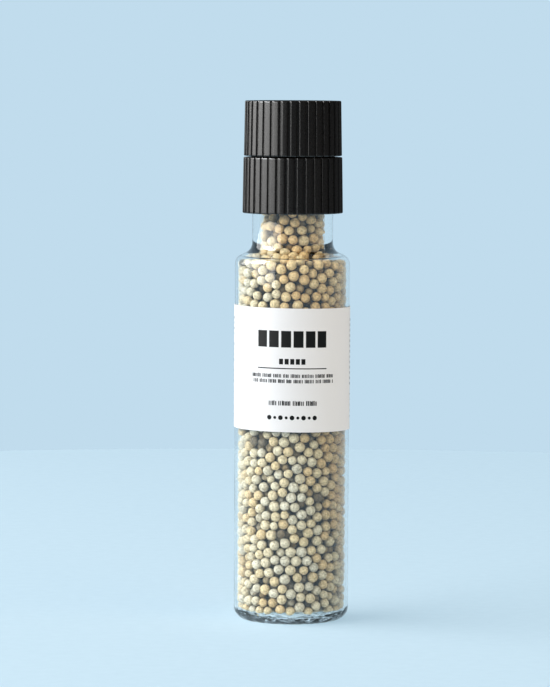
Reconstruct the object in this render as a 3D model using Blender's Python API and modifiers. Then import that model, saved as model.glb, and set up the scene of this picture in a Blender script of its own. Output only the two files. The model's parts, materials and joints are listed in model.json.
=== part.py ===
"""Glass bottle pepper mill with an adjustable ceramic burr head, built as separate pieces.

Frame: metres, +Z up, origin at the centre of the bottle's base, on the surface it stands on.
The driving dimensions below are in millimetres. Every piece is turned about, or stands on, the Z axis.
"""

import math

import bmesh
import bpy
from mathutils import Matrix

MM = 0.001

# Facets round a turned piece. The label's facets line up with the bottle's, so their gap is even.
ROUND_STEPS = 36
SMALL_STEPS = 18
CLEARANCE = 0.3

# Glass bottle: outer and inner radii, heights above the base.
BODY_RADIUS = 24.85
BODY_BORE = 23.5
NECK_RADIUS = 17.5
NECK_BORE = 14.0
LIP_TOP = 192.0
FLOOR_TOP = 3.4
BEARING_RADII = (16.9, 19.35)
PUNT_HEIGHT = 1.8
SHOULDER_ANGLE = 65.0
OUTER_SHOULDER = {"start": 154.7, "convex": 4.0, "concave": 4.7}
INNER_SHOULDER = {"start": 154.7, "convex": 2.65, "concave": 8.0}
FINISH_BOTTOM = 177.8
FINISH_RADIUS = 16.3

# Neck thread and the collar's matching thread, whose ridge bears up under the neck's ridge.
NECK_LEAD = 4.0
NECK_THREAD = {"root": 16.0, "crest": 17.45, "base": 1.9, "tip": 1.1, "start": 181.2, "turns": 1.5}
COLLAR_THREAD = {"root": 18.3, "crest": 16.75, "base": 1.7, "tip": 0.9, "start": 179.7, "turns": 1.6}
NECK_THREAD_STEPS = 18

# Turns every thread a little, so its sections fall between the corners of the wall it grows from.
THREAD_TURN_DEG = 2.0

# Wrap-round paper label, put on slightly askew.
LABEL_BORE = 24.97
LABEL_RADIUS = 25.12
LABEL_BOTTOM = 83.6
LABEL_TOP = 136.7
LABEL_SEAM_DEG = 5.0
LABEL_SKEW_DEG = 0.85

# Peppercorns, as one plain body that keeps clear of the glass.
FILL_TOP = 187.0

# Screwed collar that carries the mechanism.
COLLAR_BOTTOM = 178.6
COLLAR_TOP = 195.6
COLLAR_FLANGE_BOTTOM = 193.6
COLLAR_RADIUS = 18.75
COLLAR_BORE = 17.85
COLLAR_MOUTH = 13.4
COLLAR_LEDGE = {"radius": 19.35, "bottom": 183.8, "top": 185.6}
GASKET = {"inner": 14.4, "outer": 17.3, "bottom": 192.3, "top": 193.3}

# Spindle bridge: a rim with three arms and a hub, staked to the collar by three pegs.
ARMS = 3
FIRST_ARM_DEG = 95.0
BRIDGE_BOTTOM = 195.9
RIM_TOP = 197.4
RIM_RADII = (13.4, 15.9)
HUB_RADIUS = 5.0
HUB_HEIGHTS = (194.6, 199.4)
ARM_WIDTH = 3.0
ARM_TOP = 198.4
PEG_CIRCLE = 14.7
PEG_RADIUS = 0.8
PEG_BOTTOM = 193.9

# Square spindle with a round head below the hub and a thread at its top.
SPINDLE_SIDE = 4.6
SPINDLE_HOLE = 5.2
SPINDLE_HEAD = {"radius": 3.9, "bottom": 192.9, "top": 194.3}
SPINDLE_SQUARE_TOP = 210.6
SPINDLE_TOP = 218.6
SPINDLE_CORE = 1.8
KNOB_LEAD = 1.5
SPINDLE_THREAD = {"root": 1.6, "crest": 2.35, "base": 0.62, "tip": 0.34, "start": 211.4, "turns": 4.4}
INSERT_THREAD = {"root": 2.9, "crest": 2.1, "base": 0.6, "tip": 0.32, "start": 213.65, "turns": 2.1}
SMALL_THREAD_STEPS = 12
CLIP = {"inner": 2.7, "outer": 4.6, "bottom": 199.7, "top": 200.2, "mouth": 3.4}
CLIP_GROOVE_RADIUS = 2.35

# Compression spring on its washer, inside the inner burr's hub.
SPRING_WASHER = {"inner": 3.6, "outer": 4.6, "bottom": 200.5, "top": 200.9}
SPRING_RADIUS = 4.0
SPRING_WIRE = 0.7
SPRING_HEIGHTS = (201.55, 205.65)
SPRING_TURNS = 3.5

# Ceramic burrs. Each row is a height and the radius of the tooth tips there.
INNER_BURR = [(200.8, 8.2), (204.0, 9.3), (206.5, 10.5), (209.7, 12.0), (210.2, 11.7)]
OUTER_BURR = [(199.1, 14.3), (203.0, 12.6), (206.5, 11.0), (210.7, 12.9)]
BURR_TEETH = 24
TOOTH_DEPTH = 0.6
TOOTH_TWIST_DEG = 14.0
OUTER_BURR_RADIUS = 16.0
BURR_HUB_FLATS = 11.0
BURR_HUB_BOTTOM = 201.1
BURR_HUB_FLANGE = {"radius": 7.4, "bottom": 210.5, "top": 211.0}
SPRING_POCKET = {"radius": 4.75, "top": 206.3}

# Ribbed grinding ring that turns on the collar, with the spigot that the overcap pushes onto.
RIBS = 34
RIB_DEPTH = 0.75
RIB_LAND_SHARE = 0.68
RIB_SHOULDER_SHARE = 0.08
RING_HEIGHTS = (176.6, 200.7)
RING_RADII = (21.7, 21.35)
RING_RIB_PHASE_DEG = -2.6
RING_MOUTH = 19.9
RING_BORE = 19.75
SNAP_BEAD = {"radius": 19.0, "bottom": 181.2, "top": 183.4}
RING_WEB_BOTTOM = 197.2
BURR_SEAT = 16.3
SPIGOT_RADIUS = 18.0
SPIGOT_BEAD = {"radius": 18.2, "middle": 205.0}
SPIGOT_TOP = 212.5
OUTLET_LIP = {"radius": 13.5, "bottom": 211.0}
RETAINER = {"inner": 14.5, "outer": 16.0, "bottom": 197.7, "top": 198.8}
RETAINER_TABS = 4
GLIDE_RING = {"inner": 16.9, "outer": 19.2, "bottom": 195.9, "top": 196.9}

# Grind adjuster: a fluted knob with a brass insert, on its own washer.
KNOB_WASHER = {"inner": 3.1, "outer": 6.0, "bottom": 211.3, "top": 211.7}
KNOB_HEIGHTS = (212.0, 218.0)
KNOB_FLANGE = {"radius": 7.6, "top": 213.2}
KNOB_FLUTES = 12
KNOB_FLUTE_DEPTH = 0.6
KNOB_RADII = (6.7, 6.3)
KNOB_BORE = 4.5
KNOB_INSERT = {"outer": 4.2, "bore": 2.75, "bottom": 212.3, "top": 217.5}

# Push-on overcap.
CAP_HEIGHTS = (201.3, 225.0)
CAP_RADII = (21.2, 20.8)
CAP_RIB_PHASE_DEG = 0.3
CAP_BORE = 18.45
CAP_ROOF = 222.9
CAP_GROOVE = {"radius": 18.75, "bottom": 204.2, "top": 205.8}
CAP_SEAL = {"radius": 17.6, "bottom": 221.5, "top": 222.6}

MILL = "pepper_mill"
CUTTERS = "cutters"


def clear_scene():
    for obj in list(bpy.data.objects):
        bpy.data.objects.remove(obj)
    for name in (MILL, CUTTERS):
        group = bpy.data.collections.new(name)
        bpy.context.scene.collection.children.link(group)


def material(name, rgb, roughness, metallic=0.0, transmission=0.0, alpha=1.0):
    made = bpy.data.materials.new(name)
    made.use_nodes = True
    shader = made.node_tree.nodes["Principled BSDF"]
    shader.inputs["Base Color"].default_value = (*rgb, 1.0)
    shader.inputs["Roughness"].default_value = roughness
    shader.inputs["Metallic"].default_value = metallic
    shader.inputs["Transmission Weight"].default_value = transmission
    shader.inputs["Alpha"].default_value = alpha
    return made


def add_object(name, mesh, finish=None, group=MILL):
    obj = bpy.data.objects.new(name, mesh)
    bpy.data.collections[group].objects.link(obj)
    if finish is not None:
        mesh.materials.append(finish)
        mesh.shade_smooth()
        mesh.set_sharp_from_angle(angle=math.radians(35))
    if group == CUTTERS:
        obj.hide_render = True
        obj.display_type = "WIRE"
    return obj


def mesh_of(name, build):
    """A mesh made by build(bm), with its faces pointing out."""
    bm = bmesh.new()
    build(bm)
    bmesh.ops.recalc_face_normals(bm, faces=bm.faces)
    mesh = bpy.data.meshes.new(name)
    bm.to_mesh(mesh)
    bm.free()
    return mesh


def frozen(obj):
    """The object's evaluated mesh on its own, with the object removed."""
    bpy.context.view_layer.update()
    graph = bpy.context.evaluated_depsgraph_get()
    mesh = bpy.data.meshes.new_from_object(obj.evaluated_get(graph))
    bpy.data.objects.remove(obj)
    return mesh


def arc(centre, radius, start_deg, end_deg, points):
    """Points of a circle's arc in the (radius, height) plane."""
    made = []
    for i in range(points + 1):
        angle = math.radians(start_deg + (end_deg - start_deg) * i / points)
        made.append((centre[0] + radius * math.cos(angle), centre[1] + radius * math.sin(angle)))
    return made


def screw(obj, steps, turns=1.0, lead=0.0):
    """Turns a profile about Z, by turns, rising by lead each turn."""
    made = obj.modifiers.new("turn", "SCREW")
    made.axis = "Z"
    made.angle = math.radians(360 * turns)
    made.screw_offset = lead * turns * MM
    made.steps = made.render_steps = steps
    made.use_merge_vertices = lead == 0.0
    made.merge_threshold = 0.00001
    made.use_smooth_shade = False


def turned_mesh(name, profile, steps=ROUND_STEPS, closed=True):
    """A turned solid. The profile lists (radius, height) down its outer side and back up its inner side."""

    def build(bm):
        points = [bm.verts.new((r * MM, 0, z * MM)) for r, z in profile]
        for a, b in zip(points, points[1:]):
            bm.edges.new((a, b))
        if closed:
            bm.edges.new((points[-1], points[0]))

    obj = add_object(name, mesh_of(name, build), group=CUTTERS)
    screw(obj, steps)
    mesh = frozen(obj)
    mesh.name = name
    return mesh


def tube_profile(inner, outer, bottom, top):
    return [(outer, top), (outer, bottom), (inner, bottom), (inner, top)]


def turned(name, profile, finish, steps=ROUND_STEPS, closed=True, group=MILL):
    return add_object(name, turned_mesh(name, profile, steps, closed), finish, group)


def washer(name, size, finish, steps=SMALL_STEPS):
    profile = tube_profile(size["inner"], size["outer"], size["bottom"], size["top"])
    return turned(name, profile, finish, steps)


def box_mesh(name, size, centre, turn_deg=0.0):
    def build(bm):
        spin = Matrix.Rotation(math.radians(turn_deg), 4, "Z")
        place = spin @ Matrix.Translation([c * MM for c in centre])
        scale = Matrix.Diagonal([s * MM for s in size] + [1])
        bmesh.ops.create_cube(bm, size=1.0, matrix=place @ scale)

    return mesh_of(name, build)


def rod_mesh(name, radius, bottom, top, steps=SMALL_STEPS, at=(0.0, 0.0)):
    def build(bm):
        place = Matrix.Translation((at[0] * MM, at[1] * MM, (bottom + top) / 2 * MM))
        bmesh.ops.create_cone(
            bm, cap_ends=True, segments=steps, radius1=radius * MM, radius2=radius * MM,
            depth=(top - bottom) * MM, matrix=place,
        )

    return mesh_of(name, build)


def combine(obj, other_mesh, operation):
    """Adds a Boolean with a hidden helper made from other_mesh."""
    helper = add_object(f"{other_mesh.name}_{operation.lower()}", other_mesh, group=CUTTERS)
    made = obj.modifiers.new(operation.lower(), "BOOLEAN")
    made.operation = operation
    made.solver = "EXACT"
    made.object = helper


def join(obj, *meshes):
    for mesh in meshes:
        combine(obj, mesh, "UNION")


def cut(obj, *meshes):
    for mesh in meshes:
        combine(obj, mesh, "DIFFERENCE")


def thread_mesh(name, size, lead, steps):
    """A helical ridge: its section turned along the helix, with both ends closed."""
    half_base, half_tip = size["base"] / 2, size["tip"] / 2
    section = [
        (size["crest"], half_tip), (size["crest"], -half_tip),
        (size["root"], -half_base), (size["root"], half_base),
    ]

    def build(bm):
        points = [bm.verts.new((r * MM, 0, (z + size["start"]) * MM)) for r, z in section]
        for a, b in zip(points, points[1:] + points[:1]):
            bm.edges.new((a, b))

    obj = add_object(name, mesh_of(name, build), group=CUTTERS)
    screw(obj, round(steps * size["turns"]), size["turns"], lead)
    mesh = frozen(obj)
    bm = bmesh.new()
    bm.from_mesh(mesh)
    bmesh.ops.holes_fill(bm, edges=[e for e in bm.edges if e.is_boundary], sides=0)
    bmesh.ops.recalc_face_normals(bm, faces=bm.faces)
    bmesh.ops.rotate(bm, verts=bm.verts, matrix=Matrix.Rotation(math.radians(THREAD_TURN_DEG), 3, "Z"))
    bm.to_mesh(mesh)
    bm.free()
    return mesh


def ribbed_outline(radius, depth, count, phase_deg, land, shoulder):
    """One closed outline of flat ribs with V-sided grooves between them. Zero degrees faces -Y."""
    points = []
    pitch = 2 * math.pi / count
    marks = (
        (-land / 2, radius - depth * 0.2), (-land / 2 + shoulder, radius),
        (land / 2 - shoulder, radius), (land / 2, radius - depth * 0.2),
        (land / 2 + (1 - land) * 0.3, radius - depth), (land / 2 + (1 - land) * 0.7, radius - depth),
    )
    for i in range(count):
        for share, r in marks:
            angle = math.radians(phase_deg - 90) + pitch * (i + share)
            points.append((r * math.cos(angle), r * math.sin(angle)))
    return points


def drafted_prism(name, outline, bottom, top, top_share):
    """An outline pushed up from bottom to top, its top drawn in to top_share of its size."""

    def build(bm):
        face = bm.faces.new([bm.verts.new((x * MM, y * MM, bottom * MM)) for x, y in outline])
        pushed = bmesh.ops.extrude_face_region(bm, geom=[face], use_keep_orig=True)["geom"]
        verts = [v for v in pushed if isinstance(v, bmesh.types.BMVert)]
        bmesh.ops.translate(bm, verts=verts, vec=(0, 0, (top - bottom) * MM))
        bmesh.ops.scale(bm, verts=verts, vec=(top_share, top_share, 1))

    return mesh_of(name, build)


def toothed_loft(name, rows, depth, twist_deg, outward):
    """A toothed cone: one ring of teeth at each row's height, joined in order and capped."""
    share_of_depth = (0.0, 1.0, 1.0) if outward else (0.0, -1.0, -1.0)

    def build(bm):
        rings = []
        low, high = rows[0][0], rows[-1][0]
        for height, tip in rows:
            turn = math.radians(twist_deg) * (height - low) / (high - low)
            ring = []
            for i in range(BURR_TEETH):
                for k, share in enumerate(share_of_depth):
                    angle = turn + 2 * math.pi * (i + k / len(share_of_depth)) / BURR_TEETH
                    r = (tip + share * depth) * MM
                    ring.append(bm.verts.new((r * math.cos(angle), r * math.sin(angle), height * MM)))
            rings.append(ring)
        for below, above in zip(rings, rings[1:]):
            for i in range(len(below)):
                j = (i + 1) % len(below)
                bm.faces.new((below[i], below[j], above[j], above[i]))
        bm.faces.new(rings[0][::-1])
        bm.faces.new(rings[-1])

    return mesh_of(name, build)


def shoulder(body, neck, size):
    """A bottle's shoulder from its body radius up to its neck radius: convex arc, straight, concave arc."""
    angle = SHOULDER_ANGLE
    convex, concave = size["convex"], size["concave"]
    drop = 1 - math.cos(math.radians(angle))
    straight = (body - neck - (convex + concave) * drop) / math.tan(math.radians(angle))
    middle = size["start"] + convex * math.sin(math.radians(angle)) + straight
    top = middle + concave * math.sin(math.radians(angle))
    rising = arc((body - convex, size["start"]), convex, 0, angle, 3)
    return rising + arc((neck + concave, top), concave, 180 + angle, 180, 3)


def bottle_outside():
    """The glass from its lip down to its bearing ring."""
    heel = BODY_RADIUS - BEARING_RADII[1]
    finish = [
        (FINISH_RADIUS - 0.6, LIP_TOP), (FINISH_RADIUS, LIP_TOP - 0.6),
        (FINISH_RADIUS, FINISH_BOTTOM), (NECK_RADIUS, FINISH_BOTTOM - 0.8),
    ]
    down = shoulder(BODY_RADIUS, NECK_RADIUS, OUTER_SHOULDER)[::-1]
    return finish + down + arc((BEARING_RADII[1], heel), heel, 0, -90, 3)


def bottle_inside(offset=0.0):
    """The bore from the middle of the floor up to the neck, drawn in by offset."""
    corner = 3.0
    floor = FLOOR_TOP + offset
    bore = BODY_BORE - offset
    size = dict(INNER_SHOULDER, start=INNER_SHOULDER["start"] - offset)
    up = arc((bore - corner, floor + corner), corner, -90, 0, 3)
    return [(0.0, floor + 0.5 + 0.1 * offset)] + up + shoulder(bore, NECK_BORE - offset, size)


def make_bottle(glass):
    underside = [(BEARING_RADII[0], 0.0), (BEARING_RADII[0] - 1.5, 1.0), (0.0, PUNT_HEIGHT)]
    bore_top = [(NECK_BORE, LIP_TOP - 0.5), (NECK_BORE + 0.5, LIP_TOP)]
    profile = bottle_outside() + underside
    bottle = turned("glass_bottle", profile + bottle_inside() + bore_top, glass)
    join(bottle, thread_mesh("neck_thread", NECK_THREAD, NECK_LEAD, NECK_THREAD_STEPS))


def make_label(paper):
    profile = tube_profile(LABEL_BORE, LABEL_RADIUS, LABEL_BOTTOM, LABEL_TOP)
    label = turned("paper_label", profile, paper)
    seam_width = 2 * LABEL_RADIUS * math.sin(math.radians(LABEL_SEAM_DEG / 2))
    height = LABEL_TOP - LABEL_BOTTOM
    seam = (seam_width, 4.0, height + 4.0)
    middle = (LABEL_TOP + LABEL_BOTTOM) / 2
    cut(label, box_mesh("label_seam", seam, (0, LABEL_RADIUS, middle)))
    mesh = frozen(label)
    skew = Matrix.Identity(4)
    skew[2][0] = -math.tan(math.radians(LABEL_SKEW_DEG))
    mesh.transform(skew)
    add_object("paper_label", mesh)


def make_fill(pepper):
    inside = bottle_inside(CLEARANCE)
    edge = NECK_BORE - CLEARANCE
    heap = 1.5
    top = [(0.0, FILL_TOP + heap), (edge - heap, FILL_TOP), (edge, FILL_TOP - heap)]
    turned("peppercorn_fill", top + inside[::-1], pepper, closed=False)


def make_gasket(foam):
    washer("sealing_gasket", GASKET, foam, ROUND_STEPS)


def peg_places():
    for i in range(ARMS):
        angle = math.radians(FIRST_ARM_DEG + 360 * (i + 0.5) / ARMS)
        yield PEG_CIRCLE * math.cos(angle), PEG_CIRCLE * math.sin(angle)


def make_collar(plastic):
    ledge = COLLAR_LEDGE
    profile = [
        (COLLAR_RADIUS - 0.5, COLLAR_TOP), (COLLAR_RADIUS, COLLAR_TOP - 0.5),
        (COLLAR_RADIUS, ledge["top"] + 0.4), (ledge["radius"], ledge["top"]),
        (ledge["radius"], ledge["bottom"]), (COLLAR_RADIUS, ledge["bottom"]),
        (COLLAR_RADIUS, COLLAR_BOTTOM), (COLLAR_BORE, COLLAR_BOTTOM),
        (COLLAR_BORE, COLLAR_FLANGE_BOTTOM), (COLLAR_MOUTH, COLLAR_FLANGE_BOTTOM),
        (COLLAR_MOUTH, COLLAR_TOP),
    ]
    collar = turned("threaded_collar", profile, plastic)
    join(collar, thread_mesh("collar_thread", COLLAR_THREAD, NECK_LEAD, NECK_THREAD_STEPS))
    for x, y in peg_places():
        hole = (COLLAR_FLANGE_BOTTOM - 1, COLLAR_TOP + 1)
        cut(collar, rod_mesh("peg_hole", PEG_RADIUS + CLEARANCE, *hole, steps=12, at=(x, y)))


def make_bridge(plastic):
    bridge = turned("spindle_bridge", tube_profile(*RIM_RADII, BRIDGE_BOTTOM, RIM_TOP), plastic)
    reach = RIM_RADII[0] + 0.8
    arm = (reach, ARM_WIDTH, ARM_TOP - BRIDGE_BOTTOM - 0.1)
    height = (ARM_TOP + BRIDGE_BOTTOM + 0.1) / 2
    for i in range(ARMS):
        turn = FIRST_ARM_DEG + 360 * i / ARMS
        join(bridge, box_mesh("bridge_arm", arm, (reach / 2, 0, height), turn))
    join(bridge, rod_mesh("bridge_hub", HUB_RADIUS, *HUB_HEIGHTS))
    for x, y in peg_places():
        join(bridge, rod_mesh("bridge_peg", PEG_RADIUS, PEG_BOTTOM, RIM_TOP - 0.4, steps=12, at=(x, y)))
    hole = (SPINDLE_HOLE, SPINDLE_HOLE, 20.0)
    cut(bridge, box_mesh("spindle_hole", hole, (0, 0, BRIDGE_BOTTOM)))


def make_spindle(steel):
    head = SPINDLE_HEAD
    spindle = add_object("spindle", rod_mesh("spindle", head["radius"], head["bottom"], head["top"]), steel)
    low = head["top"] - 0.5
    square = (SPINDLE_SIDE, SPINDLE_SIDE, SPINDLE_SQUARE_TOP - low)
    join(spindle, box_mesh("spindle_square", square, (0, 0, (SPINDLE_SQUARE_TOP + low) / 2)))
    tip = [
        (0.0, SPINDLE_TOP), (SPINDLE_CORE - 0.5, SPINDLE_TOP), (SPINDLE_CORE, SPINDLE_TOP - 0.5),
        (SPINDLE_CORE, SPINDLE_SQUARE_TOP - 1), (0.0, SPINDLE_SQUARE_TOP - 1),
    ]
    join(spindle, turned_mesh("spindle_tip", tip, SMALL_STEPS, closed=False))
    join(spindle, thread_mesh("spindle_thread", SPINDLE_THREAD, KNOB_LEAD, SMALL_THREAD_STEPS))
    groove = tube_profile(CLIP_GROOVE_RADIUS, 5.0, CLIP["bottom"] - 0.15, CLIP["top"] + 0.15)
    cut(spindle, turned_mesh("clip_groove", groove, SMALL_STEPS))


def make_clip(steel):
    clip = washer("spindle_clip", CLIP, steel)
    mouth = (6.0, CLIP["mouth"], 2.0)
    cut(clip, box_mesh("clip_mouth", mouth, (3.0, 0, CLIP["bottom"])))


def make_spring(steel):
    """A coil, as a poly curve along a helix."""
    data = bpy.data.curves.new("compression_spring", "CURVE")
    data.dimensions = "3D"
    data.bevel_depth = SPRING_WIRE / 2 * MM
    data.bevel_resolution = 2
    data.use_fill_caps = True
    per_turn = 12
    count = round(SPRING_TURNS * per_turn) + 1
    line = data.splines.new("POLY")
    line.points.add(count - 1)
    low, high = SPRING_HEIGHTS
    for i in range(count):
        angle = 2 * math.pi * i / per_turn
        share = i / (count - 1)
        height = low + (high - low) * share
        x, y = SPRING_RADIUS * math.cos(angle), SPRING_RADIUS * math.sin(angle)
        line.points[i].co = (x * MM, y * MM, height * MM, 1)
    obj = bpy.data.objects.new("compression_spring", data)
    bpy.data.collections[MILL].objects.link(obj)
    data.materials.append(steel)


def hexagon(name, flats, bottom, top):
    return rod_mesh(name, flats / math.sqrt(3), bottom, top, steps=6)


def make_inner_burr(ceramic):
    burr_mesh = toothed_loft("inner_burr", INNER_BURR, TOOTH_DEPTH, TOOTH_TWIST_DEG, outward=False)
    burr = add_object("inner_burr", burr_mesh, ceramic)
    bore = BURR_HUB_FLATS + 2 * CLEARANCE
    cut(burr, hexagon("burr_bore", bore, INNER_BURR[0][0] - 1, INNER_BURR[-1][0] + 1))


def make_burr_hub(plastic):
    flange = BURR_HUB_FLANGE
    hub_mesh = hexagon("burr_hub", BURR_HUB_FLATS, BURR_HUB_BOTTOM, flange["top"])
    hub = add_object("burr_hub", hub_mesh, plastic)
    join(hub, rod_mesh("hub_flange", flange["radius"], flange["bottom"], flange["top"] - 0.05))
    pocket = SPRING_POCKET
    cut(hub, rod_mesh("spring_pocket", pocket["radius"], BURR_HUB_BOTTOM - 1, pocket["top"]))
    hole = (SPINDLE_HOLE, SPINDLE_HOLE, 20.0)
    cut(hub, box_mesh("hub_hole", hole, (0, 0, flange["top"] - 5)))


def carried_on(inner_row, end_row, reach=1.0):
    """The row that lies reach past end_row on the line from inner_row, so that a cutter runs out."""
    share = 1 + reach / abs(end_row[0] - inner_row[0])
    return tuple(a + (b - a) * share for a, b in zip(inner_row, end_row))


def make_outer_burr(ceramic):
    low, high = OUTER_BURR[0][0], OUTER_BURR[-1][0]
    blank = [(0.0, high), (OUTER_BURR_RADIUS, high), (OUTER_BURR_RADIUS, low), (0.0, low)]
    burr = turned("outer_burr", blank, ceramic, closed=False)
    rows = [carried_on(OUTER_BURR[1], OUTER_BURR[0])] + OUTER_BURR[1:-1]
    rows.append(carried_on(OUTER_BURR[-2], OUTER_BURR[-1]))
    cut(burr, toothed_loft("burr_teeth", rows, TOOTH_DEPTH, -TOOTH_TWIST_DEG, outward=True))


def ring_cavity():
    """The grinding ring's inside, from below its mouth up past its outlet."""
    bead, lip = SNAP_BEAD, OUTLET_LIP
    return [
        (0.0, SPIGOT_TOP + 1), (lip["radius"], SPIGOT_TOP + 1), (lip["radius"], lip["bottom"]),
        (BURR_SEAT, lip["bottom"]), (BURR_SEAT, RING_WEB_BOTTOM), (RING_BORE, RING_WEB_BOTTOM),
        (RING_BORE, bead["top"] + 0.75), (bead["radius"], bead["top"]),
        (bead["radius"], bead["bottom"] + 0.9), (RING_MOUTH, bead["bottom"]),
        (RING_MOUTH, RING_HEIGHTS[0] - 1), (0.0, RING_HEIGHTS[0] - 1),
    ]


def make_ring(plastic):
    low, high = RING_HEIGHTS
    shape = (RIB_DEPTH, RIBS, RING_RIB_PHASE_DEG, RIB_LAND_SHARE, RIB_SHOULDER_SHARE)
    outline = ribbed_outline(RING_RADII[0], *shape)
    share = RING_RADII[1] / RING_RADII[0]
    ring = add_object("grinding_ring", drafted_prism("grinding_ring", outline, low, high, share), plastic)
    bead = SPIGOT_BEAD
    spigot = [
        (0.0, SPIGOT_TOP), (SPIGOT_RADIUS - 0.6, SPIGOT_TOP), (SPIGOT_RADIUS, SPIGOT_TOP - 0.6),
        (SPIGOT_RADIUS, bead["middle"] + 0.7), (bead["radius"], bead["middle"]),
        (SPIGOT_RADIUS, bead["middle"] - 0.7), (SPIGOT_RADIUS, high - 2), (0.0, high - 2),
    ]
    join(ring, turned_mesh("spigot", spigot, closed=False))
    cut(ring, turned_mesh("ring_cavity", ring_cavity(), closed=False))


def make_retainer(plastic):
    retainer = washer("burr_retainer", RETAINER, plastic, ROUND_STEPS)
    notch = (1.2, 2.4, 4.0)
    for i in range(RETAINER_TABS):
        place = (RETAINER["inner"] - 0.1, 0, RETAINER["bottom"])
        cut(retainer, box_mesh("retainer_notch", notch, place, 45 + 360 * i / RETAINER_TABS))


def make_glide_ring(plastic):
    washer("glide_ring", GLIDE_RING, plastic, ROUND_STEPS)


def fluted_outline(radius, depth, count):
    """A smooth wavy outline with count flutes."""
    points = []
    per_flute = 6
    for i in range(count * per_flute):
        angle = 2 * math.pi * i / (count * per_flute)
        r = radius - depth * (0.5 - 0.5 * math.cos(count * angle))
        points.append((r * math.cos(angle), r * math.sin(angle)))
    return points


def make_knob(plastic):
    low, high = KNOB_HEIGHTS
    outline = fluted_outline(KNOB_RADII[0], KNOB_FLUTE_DEPTH, KNOB_FLUTES)
    knob_mesh = drafted_prism("adjuster_knob", outline, low + 0.2, high, KNOB_RADII[1] / KNOB_RADII[0])
    knob = add_object("adjuster_knob", knob_mesh, plastic)
    join(knob, rod_mesh("knob_flange", KNOB_FLANGE["radius"], low, KNOB_FLANGE["top"]))
    pointer = (2.4, 1.4, 0.8)
    join(knob, box_mesh("knob_pointer", pointer, (KNOB_RADII[0] + 0.4, 0, KNOB_FLANGE["top"] + 0.2)))
    cut(knob, rod_mesh("knob_bore", KNOB_BORE, low - 1, high + 1))


def make_knob_insert(brass):
    size = KNOB_INSERT
    profile = tube_profile(size["bore"], size["outer"], size["bottom"], size["top"])
    insert = turned("knob_insert", profile, brass, SMALL_STEPS)
    join(insert, thread_mesh("insert_thread", INSERT_THREAD, KNOB_LEAD, SMALL_THREAD_STEPS))


def make_overcap(plastic):
    low, high = CAP_HEIGHTS
    shape = (RIB_DEPTH, RIBS, CAP_RIB_PHASE_DEG, RIB_LAND_SHARE, RIB_SHOULDER_SHARE)
    outline = ribbed_outline(CAP_RADII[0], *shape)
    share = CAP_RADII[1] / CAP_RADII[0]
    cap = add_object("overcap", drafted_prism("overcap", outline, low, high, share), plastic)
    groove = CAP_GROOVE
    cavity = [
        (0.0, CAP_ROOF), (CAP_BORE - 0.8, CAP_ROOF), (CAP_BORE, CAP_ROOF - 0.8),
        (CAP_BORE, groove["top"]), (groove["radius"], groove["top"] - 0.3),
        (groove["radius"], groove["bottom"] + 0.3), (CAP_BORE, groove["bottom"]),
        (CAP_BORE, low - 1), (0.0, low - 1),
    ]
    cut(cap, turned_mesh("cap_cavity", cavity, closed=False))


def make_cap_seal(foam):
    size = CAP_SEAL
    add_object("cap_seal_disc", rod_mesh("cap_seal_disc", size["radius"], size["bottom"], size["top"]), foam)


def main():
    clear_scene()
    black = material("black_plastic", (0.012, 0.012, 0.013), 0.42)
    natural = material("natural_acetal", (0.80, 0.79, 0.74), 0.45)
    ceramic = material("ceramic", (0.86, 0.85, 0.80), 0.35)
    steel = material("stainless_steel", (0.62, 0.62, 0.60), 0.28, metallic=1.0)
    brass = material("brass", (0.72, 0.53, 0.22), 0.3, metallic=1.0)
    foam = material("seal_foam", (0.85, 0.85, 0.83), 0.8)
    glass = material("clear_glass", (0.95, 0.97, 0.97), 0.02, transmission=1.0, alpha=0.35)
    paper = material("label_paper", (0.86, 0.86, 0.84), 0.6)
    pepper = material("peppercorn", (0.62, 0.55, 0.40), 0.85)

    make_bottle(glass)
    make_label(paper)
    make_fill(pepper)
    make_gasket(foam)
    make_collar(black)
    make_bridge(natural)
    make_spindle(steel)
    make_clip(steel)
    washer("spring_washer", SPRING_WASHER, steel)
    make_spring(steel)
    make_inner_burr(ceramic)
    make_burr_hub(natural)
    make_outer_burr(ceramic)
    make_ring(black)
    make_retainer(natural)
    make_glide_ring(natural)
    washer("knob_washer", KNOB_WASHER, steel)
    make_knob(black)
    make_knob_insert(brass)
    make_overcap(black)
    make_cap_seal(foam)


main()
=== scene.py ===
import json
import math

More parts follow.
